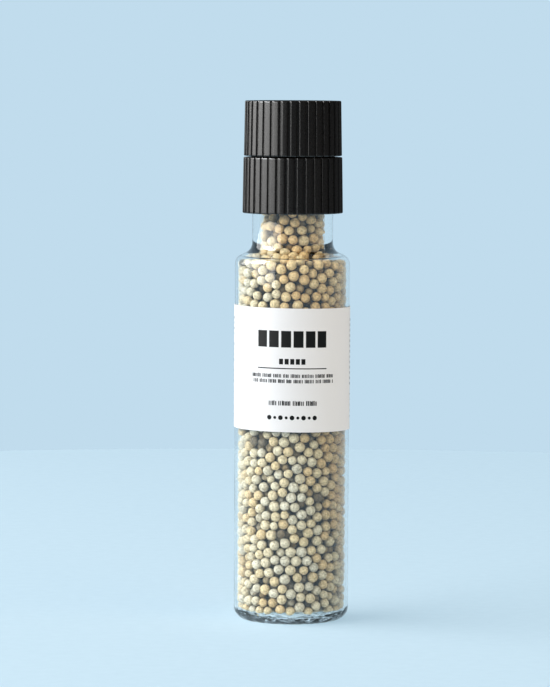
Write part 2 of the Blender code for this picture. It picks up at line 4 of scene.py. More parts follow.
import bmesh
import bpy
import numpy as np
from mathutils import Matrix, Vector


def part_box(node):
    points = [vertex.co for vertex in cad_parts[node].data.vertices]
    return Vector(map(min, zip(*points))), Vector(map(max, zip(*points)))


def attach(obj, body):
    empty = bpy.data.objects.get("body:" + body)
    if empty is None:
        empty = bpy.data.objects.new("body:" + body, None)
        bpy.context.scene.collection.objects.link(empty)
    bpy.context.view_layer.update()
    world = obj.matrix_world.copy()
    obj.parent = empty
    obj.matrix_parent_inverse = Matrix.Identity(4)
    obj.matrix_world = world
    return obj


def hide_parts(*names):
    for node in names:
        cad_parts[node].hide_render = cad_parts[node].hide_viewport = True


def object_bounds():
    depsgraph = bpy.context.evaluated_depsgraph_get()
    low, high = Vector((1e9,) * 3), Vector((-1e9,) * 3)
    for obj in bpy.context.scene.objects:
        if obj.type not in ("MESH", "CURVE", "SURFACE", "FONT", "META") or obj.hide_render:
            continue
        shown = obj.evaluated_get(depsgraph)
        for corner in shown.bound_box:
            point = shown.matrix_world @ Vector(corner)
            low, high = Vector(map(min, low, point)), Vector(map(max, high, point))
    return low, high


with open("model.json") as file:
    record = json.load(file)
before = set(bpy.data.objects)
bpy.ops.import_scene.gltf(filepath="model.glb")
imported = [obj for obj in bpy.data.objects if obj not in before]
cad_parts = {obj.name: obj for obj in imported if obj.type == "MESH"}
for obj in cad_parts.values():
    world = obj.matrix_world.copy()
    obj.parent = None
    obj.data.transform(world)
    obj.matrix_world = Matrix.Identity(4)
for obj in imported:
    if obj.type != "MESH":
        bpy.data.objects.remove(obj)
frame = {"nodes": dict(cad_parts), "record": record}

# The looks of a glass bottle pepper mill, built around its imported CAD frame.
# Lengths are in millimetres unless a comment says otherwise, and MM turns them into metres.
MM = 0.001
CAD_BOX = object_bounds()
LARGE_STEPS = 128
SMALL_STEPS = 64


def extent(node):
    """A CAD node's outer radius, bottom and top."""
    low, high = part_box(node)
    return max(high.x, high.y, -low.x, -low.y) / MM, low.z / MM, high.z / MM


GLASS_RADIUS, BASE, LIP_TOP = extent("glass_bottle")
LABEL_RADIUS = extent("paper_label")[0]
FILL_TOP = extent("peppercorn_fill")[2]
RING_RADIUS, RING_BOTTOM, SPIGOT_TOP = extent("grinding_ring")
CAP_RADIUS, CAP_BOTTOM, CAP_TOP = extent("overcap")
_, KNOB_BOTTOM, KNOB_TOP = extent("adjuster_knob")

# Bottle: radii and heights of its outline, and the glass's thickness.
NECK_RADIUS = 17.5
NECK_BORE = 14.0
BODY_WALL = 1.35
FLOOR_THICKNESS = 3.4
FLOOR_RISE = 0.5
FLOOR_CORNER = 3.0
BEARING_RADII = (16.9, 19.35)
PUNT_HEIGHT = 1.8
PUNT_ROUND = 1.0
SHOULDER_ANGLE = 65.0
OUTER_SHOULDER = {"start": 154.7, "convex": 4.0, "concave": 4.7}
INNER_SHOULDER = {"start": 154.7, "convex": 2.65, "concave": 8.0}
FINISH_HEIGHT = 14.2
FINISH_RADIUS = 16.3
FINISH_STEP = 0.8
LIP_ROUND = 0.8
NECK_LEAD = 4.0
NECK_THREAD = {
    "root": 16.0, "crest": 17.45, "base": 1.9, "tip": 1.0, "start": 181.2, "turns": 1.5,
}

# Label: the paper's edges, skew and seam, and the gaps that keep it inside its CAD node.
LABEL_HEIGHTS = (83.6, 136.7)
LABEL_SKEW_DEG = 0.85
LABEL_SEAM_DEG = 5.0
PAPER_THICKNESS = 0.13
PAPER_GAP = 0.01
INK_THICKNESS = 0.015
INK_GAP = 0.005

# Print: distances along the label from its front's middle, and heights.
PRINT_SEED = 7
HEADING = {"count": 6, "width": 4.3, "gap": 1.05, "height": 123.5, "size": 7.1}
SUBHEADING = {"count": 5, "width": 1.75, "gap": 0.66, "height": 113.9, "size": 2.4}
FRONT_RULE = {"left": -15.7, "right": 15.7, "bottom": 110.7, "top": 111.15}
FRONT_LINES = (
    {"left": -19.3, "right": 19.3, "height": 107.8, "size": 1.6, "weight": 0.38},
    {"left": -18.7, "right": 18.7, "height": 105.5, "size": 1.6, "weight": 0.38},
    {"left": -11.0, "right": 10.8, "height": 96.1, "size": 2.1, "weight": 0.45, "pitch": 0.7},
)
DOTS = {"count": 9, "pitch": 2.5, "height": 89.8, "radii": (1.0, 0.65)}
SIDE_TEXT = {
    "near": 35.8, "far": 68.0, "top": 131.0, "rows": 13, "row_pitch": 2.3, "last_lines": (4, 9),
}
SIDE_RULE_HEIGHTS = (98.6, 89.0)
SIDE_RULE_WEIGHT = 0.2
SIDE_NOTE = {"indent": 1.5, "length": 13.0, "growth": 3, "top": 96.6, "rows": 3, "row_pitch": 2.6}
SMALL_PRINT = 1.25
SMALL_PITCH = 0.6
SMALL_WEIGHT = 0.27

# Peppercorns: sizes, how closely they lie, and how they are pushed apart.
CORN_RADIUS = 2.15
CORN_SPREAD = 0.065
CORN_LIMITS = (0.84, 1.16)
CORN_SHRINK = 0.985
PACKING_SHARE = 0.625
PACKING_SEED = 11
SWEEPS = 420
SWEEPS_PER_SEARCH = 6
PUSH = 0.3

# Peppercorns: which are fine or kept, in corn radii from the glass, and a fine top layer.
FINE_DEPTH = 1.45
KEPT_DEPTH = 5.0
TOP_LAYER = 12
CORN_PIECES = 5

# Peppercorns: tints from dark through tan to cream, with a painted warm shade, warmest up on the
# right.
TINT_SEED = 23
TINT_START = 0.06
TINT_RANGE = (0.25, 0.94)
# Painted warm shade: its middle height, its lean with height, its width and its strength.
PAINTED_WARM_SHADE_MIDDLE = 72
PAINTED_WARM_SHADE_LEAN = 0.2
PAINTED_WARM_SHADE_WIDTH = 16
PAINTED_WARM_SHADE_SHARE = 0.7
DARK_SHARE = 0.02
DARK_TINT = 0.04
# Painted shade: the depth from the glass, in millimetres, at which the corns' painted shade is
# darkest.
PAINTED_SHADE_DEPTH = 6.0
TINT_COLOURS = [
    (0.0, (0.12, 0.09, 0.06)), (0.035, (0.20, 0.155, 0.10)), (0.06, (0.71, 0.44, 0.19)),
    (0.25, (0.75, 0.53, 0.27)), (0.45, (0.76, 0.61, 0.37)), (0.7, (0.78, 0.68, 0.49)),
    (0.88, (0.67, 0.61, 0.48)), (1.0, (0.82, 0.75, 0.60)),
]
# Painted shade: corn colour darkened with depth from the glass, dimming the corns' rims and the
# corns further in, where shade falls between them.
PAINTED_SHADE_BY_DEPTH = [
    (0.0, (1, 1, 1)), (0.2, (0.90, 0.89, 0.88)), (0.5, (0.34, 0.31, 0.28)),
    (1.0, (0.07, 0.06, 0.055)),
]
WRINKLE_SHADE = [(0.32, (0.50, 0.46, 0.39)), (0.55, (1, 1, 1))]
SPECK_PLACES = [(0.58, (0, 0, 0)), (0.68, (1, 1, 1))]
SPECK_COLOUR = (0.20, 0.15, 0.08, 1)
SPECK_STRENGTH = 0.65

# Ribbed head: the ribs, and each part's (way in from its end, inset) rows at its two edges.
RIBS = 34
RIB_DEPTH = 0.75
RIB_ROUND = 0.36
GROOVE_HALF = 0.48
RING_TOP = 200.7
RING_TOP_RADIUS = 21.35
RING_PHASE_DEG = -2.6
RING_FOOT = ((0.0, 0.35), (0.12, 0.1), (0.4, 0.0), (0.65, 0.0))
RING_BROW = ((0.65, 0.0), (0.4, 0.0), (0.12, 0.1), (0.0, 0.35))
CAP_TOP_RADIUS = 20.8
CAP_PHASE_DEG = 0.3
CAP_FOOT = ((0.0, 0.3), (0.1, 0.1), (0.35, 0.0), (0.6, 0.0))
CAP_BROW = ((0.7, 0.0), (0.45, 0.0), (0.14, 0.1), (0.0, 0.38))

# Inside the head: the snap's (height from its middle, how far it stands out or in) rows.
SNAP_HEIGHT = 205.0
SNAP_BEAD = ((-0.8, 0.0), (-0.5, 0.12), (0.0, 0.2), (0.5, 0.12), (0.8, 0.0))
SNAP_GROOVE = ((-0.8, 0.0), (-0.5, 0.3), (0.5, 0.3), (0.8, 0.0))
CAP_BORE = 18.45
CAP_CEILING = 222.9
SPIGOT_RADIUS = 18.0
SPIGOT_BORE = 13.5
SEAT_RADIUS = 16.3
SEAT_TOP = 211.0
RING_CEILING = 197.2
RING_BORE = 19.75
CATCH_RADIUS = 19.0
CATCH_HEIGHTS = (182.1, 183.2)
RING_MOUTH = 19.9

# Grind adjuster: the fluted knob's foot and top radii, and its flange's (inset, rise) rows.
KNOB_RADII = (6.7, 6.3)
KNOB_FLUTES = 12
KNOB_FLUTE_DEPTH = 0.6
KNOB_BORE = 4.5
FLANGE_RADIUS = 7.6
FLANGE_HEIGHT = 1.2
FLANGE_EDGE = ((0.3, 0.0), (0.1, 0.08), (0.0, 0.28), (0.0, 0.92), (0.1, 1.12), (0.3, 1.2))
POINTER_MIDDLE = 7.1
POINTER_OUTLINE = (
    (5.9, -0.7), (7.6, -0.7), (8.1, -0.5), (8.3, 0.0), (8.1, 0.5), (7.6, 0.7), (5.9, 0.7),
)
POINTER_RISE = 1.0
POINTER_LAYERS = ((0.0, 1.0), (0.65, 1.0), (0.8, 0.85))

# The spindle, and the threads the knob turns on.
KNOB_LEAD = 1.5
INSERT_BORE = 2.75
INSERT_THREAD = {
    "root": 2.9, "crest": 2.1, "base": 0.6, "tip": 0.32, "start": 213.65, "turns": 2.1,
}
SPINDLE_THREAD = {
    "root": 1.6, "crest": 2.35, "base": 0.62, "tip": 0.34, "start": 211.4, "turns": 4.4,
}
SPINDLE_HEAD_RADIUS = 3.9
SPINDLE_HEAD_HEIGHT = 1.4
SPINDLE_SIDE = 4.6
SPINDLE_SQUARE_TOP = 210.3
SPINDLE_CORE = 1.8
CLIP_GROOVE = {"inner": 2.35, "outer": 5.0, "bottom": 199.55, "top": 200.35}
WASHER_BORE = 3.1

# Finishes: two colours, a range of roughness, and the grain size and depth of their noise.
FINISHES = {
    "black_plastic": {
        "dark": (0.004, 0.0035, 0.0033), "light": (0.008, 0.007, 0.0065), "rough": (0.25, 0.32),
        "grain": 0.35, "depth": 0.006, "Specular_IOR_Level": 0.62,
    },
    "natural_acetal": {
        "dark": (0.76, 0.75, 0.69), "light": (0.83, 0.82, 0.77), "rough": (0.38, 0.48),
        "grain": 0.6, "depth": 0.01, "Subsurface_Weight": 0.15, "Subsurface_Scale": 0.001,
    },
    "ceramic": {
        "dark": (0.78, 0.77, 0.71), "light": (0.88, 0.87, 0.83), "rough": (0.45, 0.6),
        "grain": 0.25, "depth": 0.03,
    },
    "stainless_steel": {
        "dark": (0.52, 0.52, 0.50), "light": (0.66, 0.66, 0.64), "rough": (0.22, 0.36),
        "grain": 0.4, "depth": 0.004, "stretch": (1, 1, 6), "Metallic": 1.0,
    },
    "brass": {
        "dark": (0.66, 0.46, 0.17), "light": (0.78, 0.58, 0.27), "rough": (0.24, 0.36),
        "grain": 0.4, "depth": 0.004, "stretch": (1, 1, 6), "Metallic": 1.0,
    },
    "seal_foam": {
        "dark": (0.78, 0.78, 0.76), "light": (0.88, 0.88, 0.86), "rough": (0.75, 0.9),
        "grain": 0.3, "depth": 0.06,
    },
}
LABEL_PAPER = {
    "dark": (0.77, 0.75, 0.75), "light": (0.81, 0.79, 0.79), "rough": (0.5, 0.62),
    "grain": 0.12, "depth": 0.006,
}
LABEL_INK = {
    "dark": (0.003, 0.003, 0.003), "light": (0.009, 0.009, 0.009), "rough": (0.5, 0.65),
    "grain": 0.15, "depth": 0.003, "Specular_IOR_Level": 0.2,
}
FLOOR_PAINT = {
    "dark": (0.29, 0.34, 0.37), "light": (0.31, 0.36, 0.39), "rough": (0.7, 0.8),
    "grain": 6.0, "depth": 0.01, "Specular_IOR_Level": 0.0,
    "Emission_Color": (0.40, 0.59, 0.72, 1), "Emission_Strength": 0.75,
}

# Glass: the base's stipple starts at the first height and is full at the second.
STIPPLE_HEIGHTS = (6.0, 3.0)
STIPPLE_SCALE = 230.0
WAVE_SCALE = 60.0
WAVE_SHARE = 0.05
GLASS_RELIEF = 0.8
GLASS_SHADOW = (0.93, 0.95, 0.945, 1)

# Stage, in metres. Azimuth 0 is the camera's side, and 90 is to its left.
FLOOR_RADIUS = 0.75
FLOOR_DROP = 0.0002
ROOM_SEEN = (0.533, 0.716, 0.847, 1)
ROOM_LIGHT = (0.88, 0.94, 1.0, 1)
ROOM_STRENGTH = 0.42
ROOM_STRENGTH_IN_PLASTIC = 0.06
ROOM_SHARE_IN_GLASS = 0.9
LIGHTS = {
    "window": {
        "azimuth_deg": 79, "distance": 1.3, "width": 2.6, "bottom": 0.14, "top": 1.35,
        "brightness": 4.4, "colour": (1.0, 0.99, 0.97),
    },
    "glint": {
        "azimuth_deg": 78, "distance": 1.3, "width": 0.9, "bottom": 0.45, "top": 1.9,
        "brightness": 16.0, "colour": (0.94, 0.97, 1.0), "lights": False,
    },
    "warm_side": {
        "azimuth_deg": -55, "distance": 1.5, "width": 1.4, "bottom": 0.02, "top": 1.2,
        "brightness": 2.3, "colour": (1.0, 0.77, 0.50), "mirrored": False,
    },
    "far_side": {
        "azimuth_deg": -135, "distance": 1.4, "width": 1.6, "bottom": 0.02, "top": 1.1,
        "brightness": 0.45, "colour": (0.93, 0.93, 1.0), "mirrored": False,
    },
}
CAMERA_DISTANCE = 1.73
CAMERA_ELEVATION_DEG = 4.4
CAMERA_ROLL_DEG = 0.25
CAMERA_LENS_MM = 209.05
CAMERA_SENSOR_MM = 36
CAMERA_ASIDE = -0.0074
CAMERA_AIM_RISE = 0.0074


def placed(name, data):
    """A new object in the scene."""
    obj = bpy.data.objects.new(name, data)
    bpy.context.scene.collection.objects.link(obj)
    return obj


def piece(name, mesh, material, body, stands_for=(), sharp_deg=35):
    """A finished piece of the model, which rides on a CAD body."""
    obj = placed(name, mesh)
    mesh.materials.append(material)
    mesh.shade_smooth()
    mesh.set_sharp_from_angle(angle=math.radians(sharp_deg))
    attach(obj, body)
    if stands_for:
        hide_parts(*stands_for)
    return obj


# Mesh tools


def reworked(mesh, change):
    """A mesh after a function has changed its bmesh."""
    bm = bmesh.new()
    bm.from_mesh(mesh)
    change(bm)
    bmesh.ops.recalc_face_normals(bm, faces=bm.faces)
    bm.to_mesh(mesh)
    bm.free()
    return mesh


def mesh_of(name, build):
    """A new mesh that a function builds."""
    return reworked(bpy.data.meshes.new(name), build)


def merge_points(bm, closer_than=1e-7):
    """Merge the points that lie together. The distance is in metres."""
    bmesh.ops.remove_doubles(bm, verts=bm.verts, dist=closer_than)


def close_ends(bm):
    """Fill the open ends of a tube."""
    bmesh.ops.holes_fill(bm, edges=[e for e in bm.edges if e.is_boundary], sides=0)


def arc(centre, radius, start_deg, end_deg, points):
    """A circle's (x, y) points from one angle to another."""
    made = []
    for i in range(points + 1):
        angle = math.radians(start_deg + (end_deg - start_deg) * i / points)
        made.append((centre[0] + radius * math.cos(angle), centre[1] + radius * math.sin(angle)))
    return made


def rounded(profile, radius, points=3, closed=True, least_bend_deg=20, edge_share=0.45):
    """A profile whose corners are rounded off, each as far as its two edges allow."""
    made = []
    count = len(profile)
    for i, corner in enumerate(profile):
        corner = Vector(corner)
        if not closed and i in (0, count - 1):
            made.append(tuple(corner))
            continue
        to_before = Vector(profile[i - 1]) - corner
        to_after = Vector(profile[(i + 1) % count]) - corner
        between = to_before.angle(to_after)
        if math.pi - between < math.radians(least_bend_deg):
            made.append(tuple(corner))
            continue
        reach = min(
            radius / math.tan(between / 2),
            edge_share * to_before.length,
            edge_share * to_after.length,
        )
        start = corner + to_before.normalized() * reach
        end = corner + to_after.normalized() * reach
        for k in range(points + 1):
            t = k / points
            made.append(tuple(start * (1 - t) ** 2 + corner * 2 * t * (1 - t) + end * t ** 2))
    return made


def turned_mesh(name, profile, steps=LARGE_STEPS, closed=True):
    """(radius, height) points turned about Z. An open profile starts and ends on the axis."""

    def build(bm):
        points = [bm.verts.new((r * MM, 0, z * MM)) for r, z in profile]
        edges = [bm.edges.new(pair) for pair in zip(points, points[1:])]
        if closed:
            edges.append(bm.edges.new((points[-1], points[0])))
        bmesh.ops.spin(
            bm, geom=points + edges, axis=(0, 0, 1), cent=(0, 0, 0), angle=2 * math.pi,
            steps=steps, use_merge=True,
        )
        merge_points(bm)

    return mesh_of(name, build)


def tube(inner, outer, bottom, top):
    """The profile of a plain tube."""
    return [(outer, top), (outer, bottom), (inner, bottom), (inner, top)]


def lofted_mesh(name, rings):
    """Rings of (x, y, z) points joined in order. A ring of one point closes an end as a fan."""

    def build(bm):
        rows = [[bm.verts.new([c * MM for c in p]) for p in ring] for ring in rings]
        for low, high in zip(rows, rows[1:]):
            count = max(len(low), len(high))
            for i in range(count):
                j = (i + 1) % count
                corners = [
                    low[i % len(low)], low[j % len(low)], high[j % len(high)], high[i % len(high)],
                ]
                bm.faces.new(list(dict.fromkeys(corners)))

    return mesh_of(name, build)


def looped_mesh(name, rings):
    """Rings joined in order, and the last one back to the first."""
    return reworked(lofted_mesh(name, rings + [rings[0]]), merge_points)


def joined_mesh(mesh, other, operation="UNION"):
    """The exact Boolean of two closed meshes, as a new mesh."""
    obj, helper = placed(mesh.name, mesh), placed(other.name, other)
    made = obj.modifiers.new("join", "BOOLEAN")
    made.operation = operation
    made.solver = "EXACT"
    made.object = helper
    bpy.context.view_layer.update()
    graph = bpy.context.evaluated_depsgraph_get()
    result = bpy.data.meshes.new_from_object(obj.evaluated_get(graph))
    for used in (obj, helper):
        bpy.data.objects.remove(used)
    return result


def thread_mesh(name, size, lead, steps, runout=0.12):
    """A helical ridge that fades in and out over the runout's share of a turn."""
    count = round(steps * size["turns"])
    half_base, half_tip = size["base"] / 2, size["tip"] / 2
    rings = []
    for i in range(count + 1):
        turned = size["turns"] * i / count
        fade = min(1.0, turned / runout, (size["turns"] - turned) / runout)
        crest = size["root"] + (size["crest"] - size["root"]) * (0.25 + 0.75 * fade)
        angle = 2 * math.pi * turned
        height = size["start"] + lead * turned
        section = [
            (crest, half_tip), (crest, -half_tip),
            (size["root"], -half_base), (size["root"], half_base),
        ]
        rings.append([(r * math.cos(angle), r * math.sin(angle), height + z) for r, z in section])
    return reworked(lofted_mesh(name, rings), close_ends)


# Material tools


def feed(tree, socket, value):
    """Link a socket to another node's output, or give it a plain value."""
    if isinstance(value, bpy.types.NodeSocket):
        tree.links.new(value, socket)
    else:
        socket.default_value = value


def maths(tree, operation, *values):
    """A Math node's result."""
    made = tree.nodes.new("ShaderNodeMath")
    made.operation = operation
    for socket, value in zip(made.inputs, values):
        feed(tree, socket, value)
    return made.outputs["Value"]


def blended(tree, blend, factor, first, second):
    """Two colours mixed."""
    made = tree.nodes.new("ShaderNodeMix")
    made.data_type = "RGBA"
    made.blend_type = blend
    for key, value in (("Factor", factor), ("A", first), ("B", second)):
        feed(tree, made.inputs[key], value)
    return made.outputs["Result"]


def attribute(tree, name):
    """A mesh attribute's value."""
    made = tree.nodes.new("ShaderNodeAttribute")
    made.attribute_name = name
    return made.outputs["Fac"]


def noise(tree, scale, detail=4.0, roughness=0.55, stretch=(1, 1, 1)):
    """Noise over the object's own coordinates. Scale is in cells per metre."""
    coordinates = tree.nodes.new("ShaderNodeTexCoord")
    mapping = tree.nodes.new("ShaderNodeMapping")
    mapping.inputs["Scale"].default_value = stretch
    made = tree.nodes.new("ShaderNodeTexNoise")
    made.inputs["Scale"].default_value = scale
    made.inputs["Detail"].default_value = detail
    made.inputs["Roughness"].default_value = roughness
    tree.links.new(coordinates.outputs["Object"], mapping.inputs["Vector"])
    tree.links.new(mapping.outputs["Vector"], made.inputs["Vector"])
    return made.outputs["Fac"]


def ramp(tree, value, stops):
    """A colour ramp: stops are (position, (r, g, b))."""
    made = tree.nodes.new("ShaderNodeValToRGB")
    elements = made.color_ramp.elements
    while len(elements) < len(stops):
        elements.new(0.5)
    for element, (position, colour) in zip(elements, stops):
        element.position = position
        element.color = (*colour, 1)
    tree.links.new(value, made.inputs["Fac"])
    return made.outputs["Color"]


def spread(tree, value, low, high, start=0.3, end=0.7):
    """A value mapped to low at start and high at end. Noise lies mostly between 0.3 and 0.7."""
    made = tree.nodes.new("ShaderNodeMapRange")
    made.inputs["From Min"].default_value = start
    made.inputs["From Max"].default_value = end
    made.inputs["To Min"].default_value = low
    made.inputs["To Max"].default_value = high
    tree.links.new(value, made.inputs["Value"])
    return made.outputs["Result"]


def bump(tree, shader, height, depth):
    """A bumpy surface. Depth is in millimetres."""
    made = tree.nodes.new("ShaderNodeBump")
    made.inputs["Strength"].default_value = 1.0
    made.inputs["Distance"].default_value = depth * MM
    tree.links.new(height, made.inputs["Height"])
    tree.links.new(made.outputs["Normal"], shader.inputs["Normal"])


# Materials


def new_material(name, **sockets):
    """A material with a Principled shader whose named sockets are set."""
    made = bpy.data.materials.new(name)
    made.use_nodes = True
    tree = made.node_tree
    shader = tree.nodes["Principled BSDF"]
    for key, value in sockets.items():
        shader.inputs[key.replace("_", " ")].default_value = value
    return made, tree, shader


def mottled(name, dark, light, rough, grain, depth, stretch=(1, 1, 1), **sockets):
    """A material whose colour, roughness and surface vary with one noise of that grain size."""
    made, tree, shader = new_material(name, **sockets)
    pattern = noise(tree, 1 / (grain * MM), stretch=stretch)
    tree.links.new(ramp(tree, pattern, [(0.3, dark), (0.7, light)]), shader.inputs["Base Color"])
    tree.links.new(spread(tree, pattern, *rough), shader.inputs["Roughness"])
    bump(tree, shader, pattern, depth)
    return made


def clear_glass():
    """Clear glass, faintly uneven and stippled under its base, that lets light on its contents."""
    made, tree, shader = new_material(
        "clear_glass", Base_Color=(0.97, 0.985, 0.98, 1), Roughness=0.0, IOR=1.5,
        Transmission_Weight=1.0,
    )
    place = tree.nodes.new("ShaderNodeTexCoord")
    split = tree.nodes.new("ShaderNodeSeparateXYZ")
    tree.links.new(place.outputs["Object"], split.inputs["Vector"])
    start, full = (height * MM for height in STIPPLE_HEIGHTS)
    low = spread(tree, split.outputs["Z"], 0.0, 1.0, start=start, end=full)
    stipple = maths(tree, "MULTIPLY", low, noise(tree, STIPPLE_SCALE, detail=1.0))
    waves = noise(tree, WAVE_SCALE, detail=1.0)
    bump(tree, shader, maths(tree, "MULTIPLY_ADD", waves, WAVE_SHARE, stipple), GLASS_RELIEF)
    path = tree.nodes.new("ShaderNodeLightPath")
    clear = tree.nodes.new("ShaderNodeBsdfTransparent")
    clear.inputs["Color"].default_value = GLASS_SHADOW
    mix = tree.nodes.new("ShaderNodeMixShader")
    tree.links.new(path.outputs["Is Shadow Ray"], mix.inputs["Fac"])
    tree.links.new(shader.outputs["BSDF"], mix.inputs[1])
    tree.links.new(clear.outputs["BSDF"], mix.inputs[2])
    tree.links.new(mix.outputs["Shader"], tree.nodes["Material Output"].inputs["Surface"])
    return made


def peppercorn():
    """Corns with their own tints, wrinkles and specks, and a painted shade that darkens them away
    from the glass.
    """
    made, tree, shader = new_material("peppercorn", Specular_IOR_Level=0.12)
    own = ramp(tree, attribute(tree, "tint"), TINT_COLOURS)
    wrinkles = noise(tree, 1100.0, detail=5.0, roughness=0.62)
    specks = ramp(tree, noise(tree, 1900.0, detail=3.0), SPECK_PLACES)
    worn = blended(tree, "MULTIPLY", 1.0, own, ramp(tree, wrinkles, WRINKLE_SHADE))
    strength = maths(tree, "MULTIPLY", specks, SPECK_STRENGTH)
    spotted = blended(tree, "MIX", strength, worn, SPECK_COLOUR)
    # Painted shade: the corns darken with their depth from the glass.
    painted_shade = ramp(tree, attribute(tree, "depth"), PAINTED_SHADE_BY_DEPTH)
    shaded_colour = blended(tree, "MULTIPLY", 1.0, spotted, painted_shade)
    tree.links.new(shaded_colour, shader.inputs["Base Color"])
    tree.links.new(spread(tree, wrinkles, 0.62, 0.8), shader.inputs["Roughness"])
    bump(tree, shader, wrinkles, depth=0.2)
    return made


# Bottle


def shoulder(body, neck, size, points=8):
    """A bottle's shoulder up to its neck radius: convex arc, straight, concave arc."""
    convex, concave = size["convex"], size["concave"]
    turn = math.radians(SHOULDER_ANGLE)
    straight = (body - neck - (convex + concave) * (1 - math.cos(turn))) / math.tan(turn)
    top = size["start"] + convex * math.sin(turn) + straight + concave * math.sin(turn)
    rising = arc((body - convex, size["start"]), convex, 0, SHOULDER_ANGLE, points)
    return rising + arc((neck + concave, top), concave, 180 + SHOULDER_ANGLE, 180, points)


def bottle_inside():
    """The bore from the middle of the floor up to the neck."""
    bore = GLASS_RADIUS - BODY_WALL
    middle = [(0.0, FLOOR_THICKNESS + FLOOR_RISE)]
    centre = (bore - FLOOR_CORNER, FLOOR_THICKNESS + FLOOR_CORNER)
    corner = arc(centre, FLOOR_CORNER, -90, 0, 8)
    return middle + corner + shoulder(bore, NECK_BORE, INNER_SHOULDER)


def bottle_outline():
    """The outside from the lip to the base's middle, and the inside back up to the lip."""
    heel = GLASS_RADIUS - BEARING_RADII[1]
    foot = LIP_TOP - FINISH_HEIGHT
    lip = arc((FINISH_RADIUS - LIP_ROUND, LIP_TOP - LIP_ROUND), LIP_ROUND, 90, 0, 4)
    step = [(FINISH_RADIUS, foot), (NECK_RADIUS, foot - FINISH_STEP)]
    down = shoulder(GLASS_RADIUS, NECK_RADIUS, OUTER_SHOULDER)[::-1]
    base = arc((BEARING_RADII[1], BASE + heel), heel, 0, -90, 8)
    underside = arc((BEARING_RADII[0], BASE + PUNT_ROUND), PUNT_ROUND, -90, -170, 4)
    punt = [(0.0, BASE + PUNT_HEIGHT)]
    bore = arc((NECK_BORE + LIP_ROUND, LIP_TOP - LIP_ROUND), LIP_ROUND, 180, 90, 4)
    return lip + step + down + base + underside + punt, bottle_inside() + bore


def make_bottle(glass):
    outside, inside = bottle_outline()
    mesh = turned_mesh("bottle_glass", outside + inside)
    thread = thread_mesh("bottle_thread", NECK_THREAD, NECK_LEAD, LARGE_STEPS // 2)
    mesh = joined_mesh(mesh, thread)
    piece(
        "bottle_glass", mesh, glass, "bottle", ["glass_bottle"], sharp_deg=50,
    )


# Label


def on_label(along, height, radius):
    """A point of the label: along is the distance round it from its front, towards +X."""
    angle = along / LABEL_RADIUS - math.pi / 2
    x, y = radius * math.cos(angle), radius * math.sin(angle)
    return x, y, height - x * math.tan(math.radians(LABEL_SKEW_DEG))


def make_label(white):
    low, high = LABEL_HEIGHTS
    half = math.pi * LABEL_RADIUS * (1 - LABEL_SEAM_DEG / 360)
    outer = LABEL_RADIUS - INK_THICKNESS - PAPER_GAP
    inner = outer - PAPER_THICKNESS
    steps = 2 * LARGE_STEPS
    section = [(outer, low), (outer, high), (inner, high), (inner, low)]
    rings = []
    for i in range(steps + 1):
        along = half * (2 * i / steps - 1)
        rings.append([on_label(along, z, r) for r, z in section])
    mesh = reworked(lofted_mesh("label_paper", rings), close_ends)
    piece("label_paper", mesh, white, "bottle", ["paper_label"])


def block(left, right, bottom, top, step=1.0):
    """A printed rectangle, as its lower and upper edges with points enough to bend round."""
    count = max(1, math.ceil((right - left) / step))
    across = [left + (right - left) * i / count for i in range(count + 1)]
    return [(a, bottom) for a in across], [(a, top) for a in across]


def disc(along, height, radius, points=20):
    """A printed disc, as its lower and upper edges from left to right."""
    lower, upper = [], []
    for i in range(points + 1):
        x = -math.cos(math.pi * i / points)
        rise = math.sqrt(max(0.0, 1 - x * x))
        lower.append((along + radius * x, height - radius * rise))
        upper.append((along + radius * x, height + radius * rise))
    return lower, upper


def strokes(left, right, height, size, rng, pitch=0.62, weight=0.3):
    """A line of small print as upright strokes in word-like groups, standing for lettering."""
    marks = []
    foot = height - size / 2
    along = left
    word = 0
    while along < right - weight:
        if word == 0:
            word = int(rng.integers(4, 9))
            along += pitch * 1.1
        tall = size * (0.86 + 0.14 * rng.random())
        wide = weight * (0.8 + 0.5 * rng.random())
        marks.append(block(along, along + wide, foot, foot + tall))
        along += pitch * (0.85 + 0.3 * rng.random())
        word -= 1
    return marks


def centred_blocks(count, width, gap, height, size):
    """A row of equal blocks about the front's middle."""
    pitch = width + gap
    marks = []
    for i in range(count):
        left = (i - (count - 1) / 2) * pitch - width / 2
        marks.append(block(left, left + width, height - size / 2, height + size / 2))
    return marks


def side_marks(side, rng):
    """The small print round one side of the label: a paragraph, two rules and a note."""
    start, end = sorted((side * SIDE_TEXT["near"], side * SIDE_TEXT["far"]))
    marks = []
    for row in range(SIDE_TEXT["rows"]):
        last = row in SIDE_TEXT["last_lines"]
        right = start + (end - start) * (0.55 if last else 0.93 + 0.07 * rng.random())
        height = SIDE_TEXT["top"] - SIDE_TEXT["row_pitch"] * row
        marks += strokes(start, right, height, SMALL_PRINT, rng, SMALL_PITCH, SMALL_WEIGHT)
    for height in SIDE_RULE_HEIGHTS:
        marks.append(block(start, end, height, height + SIDE_RULE_WEIGHT))
    for row in range(SIDE_NOTE["rows"]):
        right = start + SIDE_NOTE["length"] + SIDE_NOTE["growth"] * row
        height = SIDE_NOTE["top"] - SIDE_NOTE["row_pitch"] * row
        marks += strokes(
            start + SIDE_NOTE["indent"], right, height, SMALL_PRINT, rng, SMALL_PITCH,
        )
    return marks


def label_marks():
    """Everything printed: plain marks that stand for headings, text and rules."""
    rng = np.random.default_rng(PRINT_SEED)
    marks = centred_blocks(**HEADING) + centred_blocks(**SUBHEADING) + [block(**FRONT_RULE)]
    for line in FRONT_LINES:
        marks += strokes(rng=rng, **line)
    for i in range(DOTS["count"]):
        along = (i - (DOTS["count"] - 1) / 2) * DOTS["pitch"]
        marks.append(disc(along, DOTS["height"], DOTS["radii"][i % 2]))
    return marks + side_marks(-1, rng) + side_marks(1, rng)


